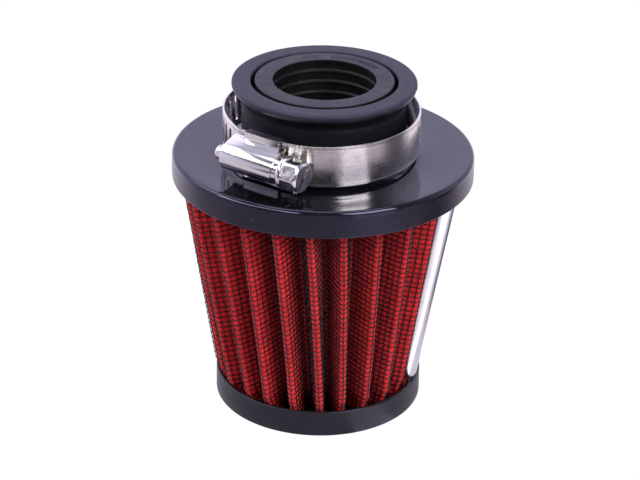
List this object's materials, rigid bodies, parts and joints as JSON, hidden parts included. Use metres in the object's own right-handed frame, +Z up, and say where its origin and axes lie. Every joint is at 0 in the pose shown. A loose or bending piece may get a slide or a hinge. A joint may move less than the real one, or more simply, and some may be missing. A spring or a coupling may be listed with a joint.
{
  "type": "performance air filter",
  "caption": "Cone air filter with a pleated red cotton and wire-mesh element, a black rubber neck and flange, a reducer ring and a worm-drive hose clamp.",
  "frame": {"origin": "centre of the bottom cap's underside, on which the filter stands", "axes": "+Z up the axis of the neck and its bore; -Y is the front, with the clamp's screw housing at the front left (-X)"},
  "size_m": [0.0828, 0.0828, 0.0946],
  "materials": {
    "flange_rubber": "glossy moulded top, satin sides",
    "adapter_rubber": "matte moulded",
    "cap_rubber": "satin moulded",
    "red_mesh": "black wire net over red cotton",
    "red_cotton": "dyed, oiled cotton gauze",
    "inner_wire": "fine wire net",
    "bright_strip": "polished",
    "adhesive": "cast",
    "band_steel": "rolled, lightly scratched",
    "housing_steel": "pressed, bright",
    "screw_zinc": "bright zinc plate"
  },
  "bodies": {
    "filter": {"top_flange": "flange_rubber", "adapter_ring": "adapter_rubber", "bottom_cap": "cap_rubber", "outer_mesh": "red_mesh", "gauze_media": "red_cotton", "inner_mesh": "inner_wire", "seam_clip": "bright_strip", "top_potting": "adhesive", "bottom_potting": "adhesive", "clamp_band": "band_steel", "clamp_housing": "housing_steel", "clamp_saddle": "band_steel"},
    "screw": {"clamp_screw": "screw_zinc"}
  },
  "joints": [
    {"name": "screw_turn", "type": "hinge", "parent": "filter", "child": "screw", "pos_m": [-0.01784, -0.02526, 0.0811], "axis": [-0.8192, 0.5736, 0], "range_deg": [-720, 2880]}
  ]
}
